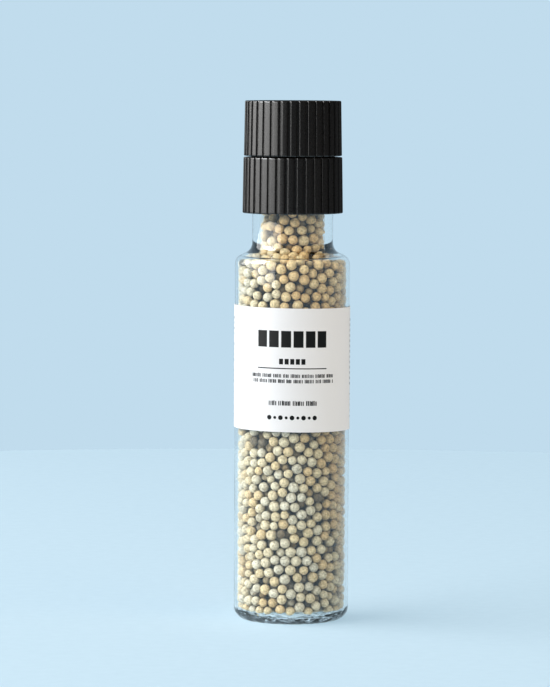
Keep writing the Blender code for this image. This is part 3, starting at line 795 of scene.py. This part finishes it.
def make_print(black):
    """Each mark is a thin closed slab of ink on the paper."""
    outer = LABEL_RADIUS - INK_GAP
    inner = outer - INK_THICKNESS

    def build(bm):
        for lower, upper in label_marks():
            rows = []
            for line, radius in ((lower, outer), (upper, outer), (upper, inner), (lower, inner)):
                points = [on_label(along, height, radius) for along, height in line]
                rows.append([bm.verts.new([c * MM for c in point]) for point in points])
            for one, two in zip(rows, rows[1:] + rows[:1]):
                for i in range(len(one) - 1):
                    bm.faces.new((one[i], one[i + 1], two[i + 1], two[i]))
            for end in (0, -1):
                bm.faces.new([row[end] for row in rows])

    piece("label_print", mesh_of("label_print", build), black, "bottle")


# Peppercorns


def wall_field(step=0.25):
    """The distance to the bottle's inside wall, on a grid over radius and height."""
    lid = FILL_TOP + 1.0
    outline = np.array(bottle_inside() + [(NECK_BORE, lid), (0.0, lid)])
    radii = np.arange(0, GLASS_RADIUS + 2, step)
    heights = np.arange(BASE, FILL_TOP + 4, step)
    grid = np.stack(np.meshgrid(radii, heights, indexing="ij"), axis=-1)
    nearest = np.full(grid.shape[:2], 1e9)
    inside = np.zeros(grid.shape[:2], bool)
    for a, b in zip(outline, outline[1:]):
        run = b - a
        share = np.clip(((grid - a) @ run) / max(run @ run, 1e-9), 0, 1)
        apart = np.linalg.norm(grid - a - share[..., None] * run, axis=-1)
        nearest = np.minimum(nearest, apart)
        crosses = (a[1] > grid[..., 1]) != (b[1] > grid[..., 1])
        if abs(run[1]) > 1e-9:
            at = a[0] + (grid[..., 1] - a[1]) * run[0] / run[1]
            inside ^= crosses & (grid[..., 0] < at)
    return np.where(inside, nearest, -nearest), step, heights[0]


def wall_distance(field_data, points):
    """Each point's distance to the wall, the (radius, height) way off it, and its radius."""
    field, step, lowest = field_data
    radius = np.hypot(points[:, 0], points[:, 1])
    i = np.clip(radius / step, 0, field.shape[0] - 2.001)
    k = np.clip((points[:, 2] - lowest) / step, 0, field.shape[1] - 2.001)
    i0, k0 = i.astype(int), k.astype(int)
    u, v = i - i0, k - k0
    a, b = field[i0, k0], field[i0 + 1, k0]
    c, d = field[i0, k0 + 1], field[i0 + 1, k0 + 1]
    distance = (a * (1 - u) + b * u) * (1 - v) + (c * (1 - u) + d * u) * v
    slope = np.stack([(b - a) * (1 - v) + (d - c) * v, (c - a) * (1 - u) + (d - b) * u], axis=1)
    slope /= np.maximum(np.linalg.norm(slope, axis=1, keepdims=True), 1e-6)
    return distance, slope, radius


def near_pairs(points, reach):
    """Every pair of points closer than reach, found along their heights."""
    order = np.argsort(points[:, 2])
    ranked = points[order]
    first, second = [], []
    for shift in range(1, len(points)):
        apart = ranked[shift:] - ranked[:-shift]
        level = apart[:, 2] < reach
        if not level.any():
            break
        close = np.flatnonzero(level & ((apart ** 2).sum(axis=1) < reach * reach))
        first.append(order[close])
        second.append(order[close + shift])
    return np.concatenate(first), np.concatenate(second)


def corn_count(field_data):
    """How many peppercorns fill the bottle."""
    field, step, _ = field_data
    section = np.where(field > 0, 1.0, 0.0)
    rings = 2 * np.pi * np.arange(section.shape[0]) * step
    room = (section * rings[:, None]).sum() * step ** 2
    return int(PACKING_SHARE * room / (4 / 3 * np.pi * CORN_RADIUS ** 3))


def pack_corns(field):
    """Corns' centres, radii and depths: spread through the bottle, then pushed apart."""
    rng = np.random.default_rng(PACKING_SEED)
    count = corn_count(field)
    radii = CORN_RADIUS * np.clip(rng.normal(1, CORN_SPREAD, count), *CORN_LIMITS)
    bore = GLASS_RADIUS - BODY_WALL
    points = np.empty((0, 3))
    while len(points) < count:
        tries = rng.uniform((-bore, -bore, BASE), (bore, bore, FILL_TOP), (4 * count, 3))
        clear = wall_distance(field, tries)[0] > CORN_RADIUS
        points = np.concatenate([points, tries[clear]])
    points = points[:count]
    for sweep in range(SWEEPS):
        if sweep % SWEEPS_PER_SEARCH == 0:
            a, b = near_pairs(points, 2.9 * CORN_RADIUS)
        apart = points[b] - points[a]
        length = np.maximum(np.linalg.norm(apart, axis=1), 1e-6)
        overlap = np.maximum(radii[a] + radii[b] - length, 0)
        push = apart * (PUSH * overlap / length)[:, None]
        for axis in range(3):
            forward = np.bincount(b, push[:, axis], count)
            points[:, axis] += forward - np.bincount(a, push[:, axis], count)
        distance, slope, radius = wall_distance(field, points)
        short = np.maximum(radii - distance, 0)
        outward = points[:, :2] / np.maximum(radius, 1e-6)[:, None]
        points[:, :2] += outward * (short * slope[:, 0])[:, None]
        points[:, 2] += short * slope[:, 1]
    return points, radii, wall_distance(field, points)[0]


def corn_shapes(subdivisions, variants, rng):
    """Unit peppercorns: dented, slightly oval spheres, every sixth with a point at its stalk."""
    bm = bmesh.new()
    bmesh.ops.create_icosphere(bm, subdivisions=subdivisions, radius=1.0)
    bm.verts.ensure_lookup_table()
    sphere = np.array([v.co for v in bm.verts])
    faces = np.array([[v.index for v in f.verts] for f in bm.faces])
    bm.free()
    shapes = []
    for i in range(variants):
        swell = np.ones(len(sphere))
        for _ in range(9):
            direction = rng.normal(size=3)
            direction *= rng.uniform(2.0, 6.0) / np.linalg.norm(direction)
            swell += 0.006 * np.sin(sphere @ direction + rng.uniform(0, 2 * np.pi))
        point = 0.16 if i % 6 == 0 else 0.03
        swell += point * np.clip((sphere[:, 2] - 0.8) / 0.2, 0, 1) ** 2
        swell -= 0.05 * np.clip((-sphere[:, 2] - 0.86) / 0.14, 0, 1)
        oval = rng.uniform(0.96, 1.03, 3)
        shapes.append(sphere * swell[:, None] * oval)
    return shapes, faces


def rotations(count, rng):
    """Random rotation matrices."""
    q = rng.normal(size=(count, 4))
    q /= np.linalg.norm(q, axis=1, keepdims=True)
    w, x, y, z = q.T
    return np.stack([
        1 - 2 * (y * y + z * z), 2 * (x * y - z * w), 2 * (x * z + y * w),
        2 * (x * y + z * w), 1 - 2 * (x * x + z * z), 2 * (y * z - x * w),
        2 * (x * z - y * w), 2 * (y * z + x * w), 1 - 2 * (x * x + y * y),
    ], axis=1).reshape(-1, 3, 3)


def corns_mesh(name, points, radii, fine, tints, field, rng):
    """One mesh of many peppercorns, each fine or coarse, with their tints and the depths that set
    their painted shade.
    """
    kinds = {True: corn_shapes(3, 12, rng), False: corn_shapes(2, 6, rng)}
    turns = rotations(len(points), rng)
    all_points, all_faces, all_tints = [], [], []
    offset = 0
    for i, centre in enumerate(points):
        shapes, faces = kinds[bool(fine[i])]
        shape = shapes[i % len(shapes)] @ turns[i].T * (radii[i] * CORN_SHRINK) + centre
        all_points.append(shape)
        all_faces.append(faces + offset)
        all_tints.append(np.full(len(shape), tints[i]))
        offset += len(shape)
    co = np.concatenate(all_points)
    # Each point's depth from the glass, which sets its painted shade.
    painted_shade_depths = np.clip(wall_distance(field, co)[0] / PAINTED_SHADE_DEPTH, 0, 1)
    co *= MM
    faces = np.concatenate(all_faces)
    mesh = bpy.data.meshes.new(name)
    mesh.vertices.add(len(co))
    mesh.vertices.foreach_set("co", co.astype(np.float32).ravel())
    mesh.loops.add(faces.size)
    mesh.loops.foreach_set("vertex_index", faces.astype(np.int32).ravel())
    mesh.polygons.add(len(faces))
    mesh.polygons.foreach_set("loop_start", np.arange(0, faces.size, 3, dtype=np.int32))
    mesh.update(calc_edges=True)
    for key, values in (("tint", np.concatenate(all_tints)), ("depth", painted_shade_depths)):
        layer = mesh.attributes.new(key, "FLOAT", "POINT")
        layer.data.foreach_set("value", values.astype(np.float32))
    return mesh


def corn_tints(points, rng):
    """Each corn's place along TINT_COLOURS, moved towards dark tan by a painted warm shade up on
    the right. A few are dark.
    """
    # Painted warm shade: corns further towards +X and higher up are tinted darker and more tan.
    painted_shade_lean = points[:, 0] + PAINTED_WARM_SHADE_LEAN * (points[:, 2] - PAINTED_WARM_SHADE_MIDDLE)
    painted_warm_shade = np.clip(painted_shade_lean / PAINTED_WARM_SHADE_WIDTH, 0, 1)
    tints = TINT_START + rng.uniform(*TINT_RANGE, len(points)) * (1 - PAINTED_WARM_SHADE_SHARE * painted_warm_shade)
    tints[rng.random(len(points)) < DARK_SHARE] *= DARK_TINT
    return tints


def make_corns(pepper):
    """The whole fill, in pieces one above the other, without the corns nothing can see."""
    field = wall_field()
    points, radii, distance = pack_corns(field)
    rng = np.random.default_rng(TINT_SEED)
    tints = corn_tints(points, rng)
    fine = (distance < FINE_DEPTH * CORN_RADIUS) | (points[:, 2] > FILL_TOP - TOP_LAYER)
    kept = fine | (distance < KEPT_DEPTH * CORN_RADIUS)
    edges = np.quantile(points[:, 2], np.linspace(0, 1, CORN_PIECES + 1))
    for i in range(CORN_PIECES):
        name = f"corns_{i + 1}"
        last = i == CORN_PIECES - 1
        band = (points[:, 2] >= edges[i]) & ((points[:, 2] < edges[i + 1]) | last)
        own = np.flatnonzero(kept & band)
        mesh = corns_mesh(name, points[own], radii[own], fine[own], tints[own], field, rng)
        stands_for = ["peppercorn_fill"] if i == 0 else []
        piece(name, mesh, pepper, "bottle", stands_for, sharp_deg=180)


# Ribbed head


def rib_section(pitch):
    """(distance, depth) points from the middle of a groove up its wall to a rib's middle."""
    edge = GROOVE_HALF + 0.14
    points = [
        (GROOVE_HALF * 0.5, RIB_DEPTH), (GROOVE_HALF, RIB_DEPTH - 0.03),
        (edge - 0.05, RIB_DEPTH - 0.2),
    ]
    for angle in (0, 22.5, 45, 67.5, 90):
        turn = math.radians(angle)
        rise = (RIB_ROUND * (1 - math.cos(turn)), RIB_ROUND * (1 - math.sin(turn)))
        points.append((edge + rise[0], rise[1]))
    middle = points[-1][0]
    return points + [((middle + pitch / 2) / 2, 0.0), (pitch / 2, 0.0)]


def ribbed_ring(radius, height, phase_deg, inset=0.0):
    """One closed outline of ribs with rounded edges. Zero degrees faces -Y."""
    pitch = 2 * math.pi * radius / RIBS
    half = rib_section(pitch)
    marks = [(-s, depth) for s, depth in half[:-1][::-1]] + [(0.0, RIB_DEPTH)] + half
    points = []
    for i in range(RIBS):
        for mark, depth in marks:
            r = radius - depth - inset * (1 - 0.7 * depth / RIB_DEPTH)
            turn = 2 * math.pi * (i + 0.5 + mark / pitch) / RIBS
            angle = math.radians(phase_deg - 90) + turn
            points.append((r * math.cos(angle), r * math.sin(angle), height))
    return points


def ribbed_wall(bottom, top, phase_deg, foot, brow):
    """A ribbed outside between two (radius, height) ends, with the rows of its two edges."""
    rings = []
    for (radius, height), rows, way_in in ((bottom, foot, 1), (top, brow, -1)):
        for distance, inset in rows:
            rings.append(ribbed_ring(radius, height + way_in * distance, phase_deg, inset))
    return rings


def round_ring(radius, height, like):
    """A plain circle with as many points as another ring, at the same angles."""
    points = []
    for x, y, _ in like:
        share = radius / math.hypot(x, y)
        points.append((x * share, y * share, height))
    return points


def make_overcap(plastic):
    outer = ribbed_wall(
        (CAP_RADIUS, CAP_BOTTOM), (CAP_TOP_RADIUS, CAP_TOP), CAP_PHASE_DEG, CAP_FOOT, CAP_BROW,
    )
    top = [round_ring(r, CAP_TOP, outer[0]) for r in (CAP_TOP_RADIUS - 1.4, 10.0)]
    bore = [(CAP_BORE + 0.3, CAP_BOTTOM), (CAP_BORE, CAP_BOTTOM + 0.3)]
    bore += [(CAP_BORE + deep, SNAP_HEIGHT + rise) for rise, deep in SNAP_GROOVE]
    bore += [
        (CAP_BORE, CAP_CEILING - 0.8), (CAP_BORE - 0.25, CAP_CEILING - 0.2),
        (CAP_BORE - 0.8, CAP_CEILING),
    ]
    inside = [round_ring(r, z, outer[0]) for r, z in bore]
    rings = [[(0.0, 0.0, CAP_CEILING)]] + inside[::-1] + outer + top + [[(0.0, 0.0, CAP_TOP)]]
    piece(
        "overcap_shell", lofted_mesh("overcap_shell", rings), plastic, "overcap", ["overcap"],
        sharp_deg=50,
    )


def make_ring(plastic):
    """The ribbed ring, its spigot, the outer burr's seat and the catch under the collar."""
    outer = ribbed_wall(
        (RING_RADIUS, RING_BOTTOM), (RING_TOP_RADIUS, RING_TOP), RING_PHASE_DEG,
        RING_FOOT, RING_BROW,
    )
    catch_bottom, catch_top = CATCH_HEIGHTS
    inner = [(SPIGOT_RADIUS + 0.3, RING_TOP), (SPIGOT_RADIUS, RING_TOP + 0.3)]
    inner += [(SPIGOT_RADIUS + proud, SNAP_HEIGHT + rise) for rise, proud in SNAP_BEAD]
    inner += [
        (SPIGOT_RADIUS, SPIGOT_TOP - 0.6), (SPIGOT_RADIUS - 0.2, SPIGOT_TOP - 0.15),
        (SPIGOT_RADIUS - 0.6, SPIGOT_TOP), (SPIGOT_BORE + 0.4, SPIGOT_TOP),
        (SPIGOT_BORE + 0.1, SPIGOT_TOP - 0.1), (SPIGOT_BORE, SPIGOT_TOP - 0.4),
        (SPIGOT_BORE, SEAT_TOP), (SEAT_RADIUS, SEAT_TOP), (SEAT_RADIUS, RING_CEILING),
        (RING_BORE, RING_CEILING), (RING_BORE, catch_top + 0.95),
        (CATCH_RADIUS + 0.2, catch_top + 0.4), (CATCH_RADIUS, catch_top),
        (CATCH_RADIUS, catch_bottom), (CATCH_RADIUS + 0.3, catch_bottom - 0.4),
        (RING_MOUTH, catch_bottom - 0.9), (RING_MOUTH, RING_BOTTOM + 0.2),
        (RING_MOUTH + 0.2, RING_BOTTOM),
    ]
    mesh = looped_mesh("ring_shell", outer + [round_ring(r, z, outer[0]) for r, z in inner])
    piece(
        "ring_shell", mesh, plastic, "ring", ["grinding_ring"], sharp_deg=50,
    )


# Grind adjuster and its spindle


def fluted_ring(radius, height, depth):
    """One closed outline round the knob, with shallow hollows for the fingertips."""
    steps = 12 * KNOB_FLUTES
    points = []
    for angle in (2 * math.pi * i / steps for i in range(steps)):
        r = radius - depth * (0.5 - 0.5 * math.cos(KNOB_FLUTES * angle))
        points.append((r * math.cos(angle), r * math.sin(angle), height))
    return points


def pointer_mesh(bottom):
    """The knob's pointer, a thin slab that draws in at its top."""
    rings = [[(POINTER_MIDDLE, 0.0, bottom)]]
    for rise, share in POINTER_LAYERS:
        rings.append([
            (POINTER_MIDDLE + (x - POINTER_MIDDLE) * share, y * share, bottom + rise)
            for x, y in POINTER_OUTLINE
        ])
    rings.append([(POINTER_MIDDLE, 0.0, bottom + POINTER_LAYERS[-1][0])])
    return lofted_mesh("pointer", rings)


def make_knob(plastic):
    foot, top, deep = KNOB_BOTTOM, KNOB_TOP, KNOB_FLUTE_DEPTH
    wide, narrow = KNOB_RADII
    like = fluted_ring(wide, foot, deep)
    flange = [(KNOB_BORE + 0.2, foot)]
    flange += [(FLANGE_RADIUS - inset, foot + rise) for inset, rise in FLANGE_EDGE]
    bore = [(KNOB_BORE + 0.3, top), (KNOB_BORE, top - 0.3), (KNOB_BORE, foot + 0.2)]
    grip = [
        fluted_ring(wide + 0.05, foot + FLANGE_HEIGHT, deep),
        fluted_ring(wide, foot + FLANGE_HEIGHT + 0.2, deep),
        fluted_ring(narrow, top - 0.5, deep),
        fluted_ring(narrow - 0.1, top - 0.15, deep),
        fluted_ring(narrow - 0.4, top, 0.8 * deep),
    ]
    rings = [round_ring(r, z, like) for r, z in flange] + grip
    rings += [round_ring(r, z, like) for r, z in bore]
    mesh = joined_mesh(looped_mesh("knob", rings), pointer_mesh(foot + POINTER_RISE))
    piece("knob_fine", mesh, plastic, "knob", ["adjuster_knob"])


def make_knob_insert(metal):
    radius, low, high = extent("knob_insert")
    profile = rounded(tube(INSERT_BORE, radius, low, high), 0.2)
    sleeve = turned_mesh("insert_sleeve", profile, SMALL_STEPS)
    thread = thread_mesh("insert_thread", INSERT_THREAD, KNOB_LEAD, SMALL_STEPS)
    piece("insert_fine", joined_mesh(sleeve, thread), metal, "knob", ["knob_insert"])


def rounded_square(side, corner, height):
    """One closed outline of a square with rounded corners."""
    points = []
    reach = side / 2 - corner
    for turn in range(4):
        quarter = 90 * turn
        centre = (reach if turn in (0, 3) else -reach, reach if turn in (0, 1) else -reach)
        points += [(x, y, height) for x, y in arc(centre, corner, quarter, quarter + 90, 4)]
    return points


def make_spindle(metal):
    """A round head, a square length with the clip's groove, and a threaded end."""
    _, low, high = extent("spindle")
    head_top = low + SPINDLE_HEAD_HEIGHT
    head = [(0.0, low), (SPINDLE_HEAD_RADIUS, low), (SPINDLE_HEAD_RADIUS, head_top)]
    head = rounded(head + [(0.0, head_top)], 0.3, closed=False)
    square_bottom, square_top = head_top - 0.5, SPINDLE_SQUARE_TOP + 0.3
    square = [
        [(0.0, 0.0, square_bottom)],
        rounded_square(SPINDLE_SIDE, 0.35, square_bottom),
        rounded_square(SPINDLE_SIDE, 0.35, SPINDLE_SQUARE_TOP),
        rounded_square(SPINDLE_SIDE - 0.6, 0.3, square_top),
        [(0.0, 0.0, square_top)],
    ]
    core_bottom = SPINDLE_SQUARE_TOP - 0.7
    core = [
        (0.0, high), (SPINDLE_CORE - 0.5, high), (SPINDLE_CORE, high - 0.5),
        (SPINDLE_CORE, core_bottom), (0.0, core_bottom),
    ]
    mesh = turned_mesh("spindle_fine", head, SMALL_STEPS, closed=False)
    for other in (
        lofted_mesh("spindle_square", square),
        turned_mesh("spindle_core", core, SMALL_STEPS, closed=False),
        thread_mesh("spindle_thread", SPINDLE_THREAD, KNOB_LEAD, SMALL_STEPS),
    ):
        mesh = joined_mesh(mesh, other)
    groove = turned_mesh("spindle_groove", tube(**CLIP_GROOVE), SMALL_STEPS)
    mesh = joined_mesh(mesh, groove, "DIFFERENCE")
    piece("spindle_fine", mesh, metal, "collar", ["spindle"])


def make_washer(metal):
    radius, low, high = extent("knob_washer")
    mesh = turned_mesh("washer_fine", rounded(tube(WASHER_BORE, radius, low, high), 0.12))
    piece("washer_fine", mesh, metal, "burr", ["knob_washer"])


def make_cap_seal(soft):
    radius, low, high = extent("cap_seal_disc")
    profile = rounded([(0.0, high), (radius, high), (radius, low), (0.0, low)], 0.25, closed=False)
    mesh = turned_mesh("cap_seal_fine", profile, closed=False)
    piece("cap_seal_fine", mesh, soft, "overcap", ["cap_seal_disc"])


# Stage


def make_floor():
    """A round table top, lit enough by itself that no horizon stands out behind the mill."""

    def build(bm):
        bmesh.ops.create_circle(bm, cap_ends=True, segments=LARGE_STEPS, radius=FLOOR_RADIUS)

    mesh = mesh_of("floor", build)
    floor = placed("floor", mesh)
    floor.location.z = -FLOOR_DROP
    mesh.materials.append(mottled("floor_paint", **FLOOR_PAINT))


def make_world():
    """A pale blue room: bright to the eye and nearly so in glass, dim as a light and in plastic."""
    world = bpy.data.worlds.new("studio")
    bpy.context.scene.world = world
    world.use_nodes = True
    tree = world.node_tree
    path = tree.nodes.new("ShaderNodeLightPath")
    seen = tree.nodes["Background"]
    seen.inputs["Color"].default_value = ROOM_SEEN
    lighting = tree.nodes.new("ShaderNodeBackground")
    lighting.inputs["Color"].default_value = ROOM_LIGHT
    glossy = path.outputs["Is Glossy Ray"]
    strength = spread(tree, glossy, ROOM_STRENGTH, ROOM_STRENGTH_IN_PLASTIC, start=0.0, end=1.0)
    tree.links.new(strength, lighting.inputs["Strength"])
    direct = maths(
        tree, "MAXIMUM", path.outputs["Is Camera Ray"], path.outputs["Is Transmission Ray"],
    )
    in_glass = maths(tree, "MULTIPLY", path.outputs["Is Singular Ray"], ROOM_SHARE_IN_GLASS)
    mix = tree.nodes.new("ShaderNodeMixShader")
    tree.links.new(maths(tree, "MAXIMUM", direct, in_glass), mix.inputs["Fac"])
    tree.links.new(lighting.outputs["Background"], mix.inputs[1])
    tree.links.new(seen.outputs["Background"], mix.inputs[2])
    tree.links.new(mix.outputs["Shader"], tree.nodes["World Output"].inputs["Surface"])


def soft_light(
    name, azimuth_deg, distance, width, bottom, top, brightness, colour,
    mirrored=True, lights=True,
):
    """An upright soft light. Shiny surfaces can mirror it, and it can light dull ones."""
    turn = math.radians(azimuth_deg)
    data = bpy.data.lights.new(name, "AREA")
    data.shape = "RECTANGLE"
    data.size, data.size_y = width, top - bottom
    data.energy = brightness * math.pi * width * (top - bottom)
    data.color = colour
    lamp = placed(name, data)
    middle = (bottom + top) / 2
    lamp.location = (-distance * math.sin(turn), -distance * math.cos(turn), middle)
    lamp.rotation_euler = (math.pi / 2, 0, -turn)
    lamp.visible_camera = False
    lamp.visible_diffuse = lights
    lamp.visible_glossy = mirrored
    lamp.visible_transmission = False


def make_camera():
    """In front of the mill and a little above it, with a long lens."""
    elevation = math.radians(CAMERA_ELEVATION_DEG)
    back, up = CAMERA_DISTANCE * math.cos(elevation), CAMERA_DISTANCE * math.sin(elevation)
    middle = (CAD_BOX[0] + CAD_BOX[1]) / 2
    middle.x = middle.y = 0.0
    data = bpy.data.cameras.new("camera")
    data.lens = CAMERA_LENS_MM
    data.sensor_width = CAMERA_SENSOR_MM
    camera = placed("camera", data)
    aim = middle + Vector((CAMERA_ASIDE, 0, CAMERA_AIM_RISE))
    place = middle + Vector((CAMERA_ASIDE, -back, up))
    camera.location = place
    camera.rotation_euler = (aim - place).to_track_quat("-Z", "Y").to_euler()
    camera.rotation_euler.rotate_axis("Z", math.radians(CAMERA_ROLL_DEG))
    bpy.context.scene.camera = camera


def main():
    bpy.context.scene.view_settings.view_transform = "Standard"
    finishes = {name: mottled(name, **finish) for name, finish in FINISHES.items()}
    for entry in frame["record"]["subparts"]:
        finish = finishes.get(entry["material_slot"])
        if finish is not None:
            node = frame["nodes"][entry["node"]]
            node.data.materials.clear()
            node.data.materials.append(finish)
    make_bottle(clear_glass())
    make_label(mottled("label_paper", **LABEL_PAPER))
    make_print(mottled("label_ink", **LABEL_INK))
    make_corns(peppercorn())
    make_ring(finishes["black_plastic"])
    make_overcap(finishes["black_plastic"])
    make_knob(finishes["black_plastic"])
    make_knob_insert(finishes["brass"])
    make_spindle(finishes["stainless_steel"])
    make_washer(finishes["stainless_steel"])
    make_cap_seal(finishes["seal_foam"])
    make_floor()
    make_world()
    for name, light in LIGHTS.items():
        soft_light(name, **light)
    make_camera()


main()
